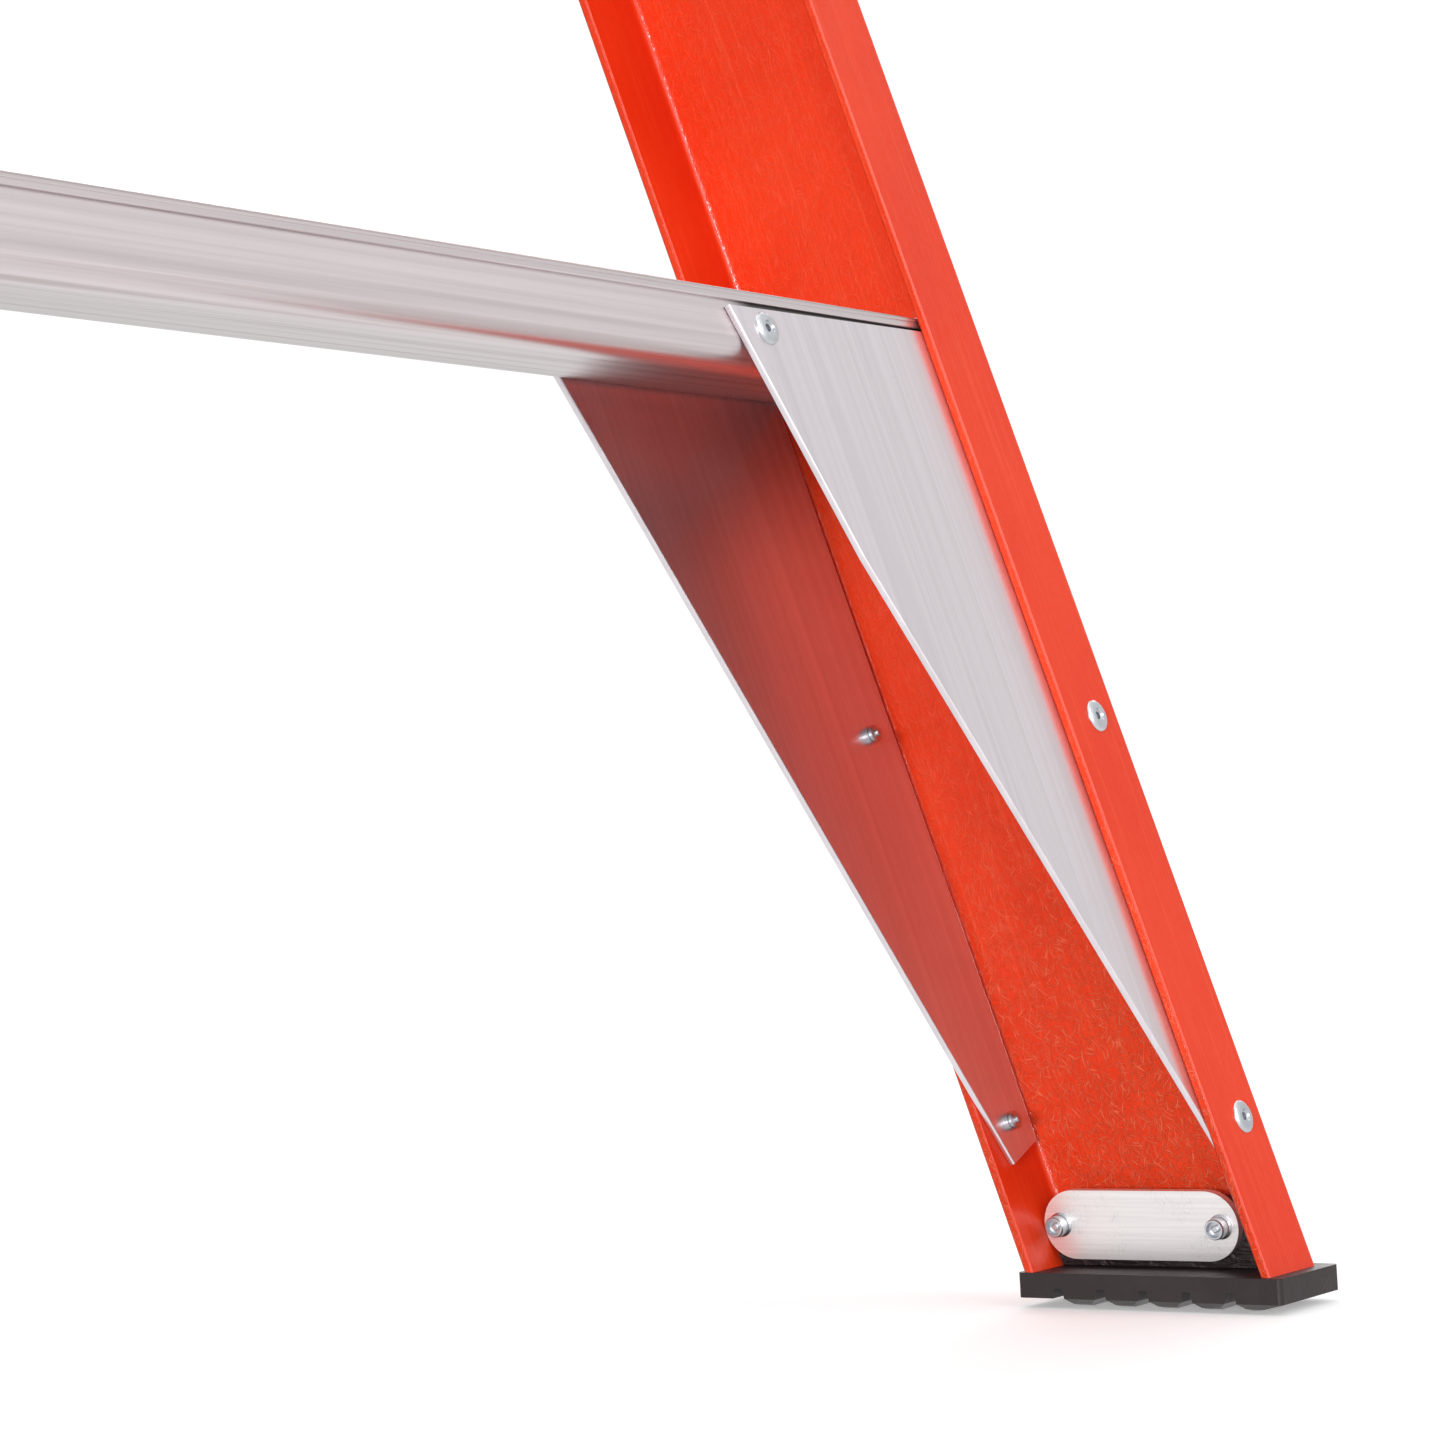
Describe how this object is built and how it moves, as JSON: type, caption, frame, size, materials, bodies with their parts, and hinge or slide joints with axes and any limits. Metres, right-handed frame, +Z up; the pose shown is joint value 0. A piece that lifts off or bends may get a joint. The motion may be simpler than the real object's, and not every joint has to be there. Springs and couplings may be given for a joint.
{
  "type": "extension ladder",
  "caption": "Fibreglass extension trestle ladder: splayed A-frame with rungs on both sides, folding spreaders and a sliding middle section held by a gravity lock.",
  "frame": {"origin": "on the ground, midway between the four boots", "axes": "+Z up the ladder, -Y is the front section's climbing side (the side in the picture), X along the rungs"},
  "size_m": [0.729, 1.22, 1.854],
  "materials": {
    "base_fibreglass": "glossy orange-red fibreglass with a fine fibre pattern",
    "extension_fibreglass": "glossy orange-red fibreglass",
    "rung_aluminium": "extruded, drawn lengthwise",
    "round_rung_aluminium": "extruded, drawn lengthwise",
    "bracket_aluminium": "satin",
    "gusset_aluminium": "mill finish sheet, lightly brushed",
    "plate_aluminium": "mill finish",
    "rivet_aluminium": "bright",
    "cast_aluminium": "as cast, matt",
    "zinc_steel": "zinc plated",
    "lock_steel": "zinc plated",
    "boot_rubber": "moulded black rubber",
    "cap_plastic": "moulded black plastic"
  },
  "bodies": {
    "front_section": {"front_boot_rivets": "rivet_aluminium", "front_left_boot": "boot_rubber", "front_left_boot_plate": "plate_aluminium", "front_left_hinge_casting": "cast_aluminium", "front_left_inner_gusset": "gusset_aluminium", "front_left_outer_gusset": "gusset_aluminium", "front_left_rail": "base_fibreglass", "front_right_boot": "boot_rubber", "front_right_boot_plate": "plate_aluminium", "front_right_hinge_casting": "cast_aluminium", "front_right_inner_gusset": "gusset_aluminium", "front_right_outer_gusset": "gusset_aluminium", "front_right_rail": "base_fibreglass", "front_rivets": "rivet_aluminium", "front_rung_1": "rung_aluminium", "front_rung_2": "rung_aluminium", "front_rung_3": "rung_aluminium", "front_rung_4": "rung_aluminium", "front_rung_5": "rung_aluminium", "front_rung_brackets": "bracket_aluminium", "front_spreader_brackets": "zinc_steel"},
    "rear_section": {"rear_boot_rivets": "rivet_aluminium", "rear_left_boot": "boot_rubber", "rear_left_boot_plate": "plate_aluminium", "rear_left_hinge_casting": "cast_aluminium", "rear_left_inner_gusset": "gusset_aluminium", "rear_left_outer_gusset": "gusset_aluminium", "rear_left_rail": "base_fibreglass", "rear_right_boot": "boot_rubber", "rear_right_boot_plate": "plate_aluminium", "rear_right_hinge_casting": "cast_aluminium", "rear_right_inner_gusset": "gusset_aluminium", "rear_right_outer_gusset": "gusset_aluminium", "rear_right_rail": "base_fibreglass", "rear_rivets": "rivet_aluminium", "rear_rung_1": "rung_aluminium", "rear_rung_2": "rung_aluminium", "rear_rung_3": "rung_aluminium", "rear_rung_4": "rung_aluminium", "rear_rung_5": "rung_aluminium", "rear_rung_brackets": "bracket_aluminium", "rear_spreader_brackets": "zinc_steel"},
    "head": {"right_guide_plate": "zinc_steel", "left_guide_plate": "zinc_steel", "hinge_bolts": "zinc_steel"},
    "lock": {"lock_bar": "zinc_steel", "right_lock_prop": "lock_steel", "left_lock_prop": "lock_steel"},
    "extension_section": {"extension_end_caps": "cap_plastic", "extension_left_rail": "extension_fibreglass", "extension_right_rail": "extension_fibreglass", "extension_rung_1": "round_rung_aluminium", "extension_rung_2": "round_rung_aluminium", "extension_rung_3": "round_rung_aluminium", "extension_rung_4": "round_rung_aluminium", "extension_rung_5": "round_rung_aluminium"},
    "front_right_spreader_arm": {"front_right_spreader_arm": "zinc_steel"},
    "front_left_spreader_arm": {"front_left_spreader_arm": "zinc_steel"},
    "rear_right_spreader_arm": {"rear_right_spreader_arm": "zinc_steel"},
    "rear_left_spreader_arm": {"rear_left_spreader_arm": "zinc_steel"}
  },
  "joints": [
    {"name": "rear_fold", "type": "hinge", "parent": "front_section", "child": "rear_section", "pos_m": [0, 0, 1.75], "axis": [-1, 0, 0], "range_deg": [0, 31.28]},
    {"name": "head_swing", "type": "hinge", "parent": "front_section", "child": "head", "pos_m": [0, 0, 1.75], "axis": [-1, 0, 0], "range_deg": [0, 15.64]},
    {"name": "extension_slide", "type": "slide", "parent": "head", "child": "extension_section", "axis": [0, 0, 1], "range_m": [0, 0.9144]},
    {"name": "lock_swing", "type": "hinge", "parent": "head", "child": "lock", "pos_m": [0, -0.045, 1.566], "axis": [1, 0, 0], "range_deg": [0, 60]},
    {"name": "front_right_spreader_arm_fold", "type": "hinge", "parent": "front_section", "child": "front_right_spreader_arm", "pos_m": [0.2445, -0.28679, 0.8], "axis": [1, 0, 0], "range_deg": [0, 70.41]},
    {"name": "front_left_spreader_arm_fold", "type": "hinge", "parent": "front_section", "child": "front_left_spreader_arm", "pos_m": [-0.2445, -0.28679, 0.8], "axis": [1, 0, 0], "range_deg": [0, 70.41]},
    {"name": "rear_right_spreader_arm_fold", "type": "hinge", "parent": "rear_section", "child": "rear_right_spreader_arm", "pos_m": [0.24, 0.28679, 0.8], "axis": [-1, 0, 0], "range_deg": [0, 70.41]},
    {"name": "rear_left_spreader_arm_fold", "type": "hinge", "parent": "rear_section", "child": "rear_left_spreader_arm", "pos_m": [-0.24, 0.28679, 0.8], "axis": [-1, 0, 0], "range_deg": [0, 70.41]}
  ],
  "couplings": [
    {"joint": "head_swing", "follows": "rear_fold", "ratio": 0.5},
    {"joint": "front_right_spreader_arm_fold", "follows": "rear_fold", "ratio": 2.2494},
    {"joint": "front_left_spreader_arm_fold", "follows": "rear_fold", "ratio": 2.2494},
    {"joint": "rear_right_spreader_arm_fold", "follows": "rear_fold", "ratio": 2.2494},
    {"joint": "rear_left_spreader_arm_fold", "follows": "rear_fold", "ratio": 2.2494}
  ]
}
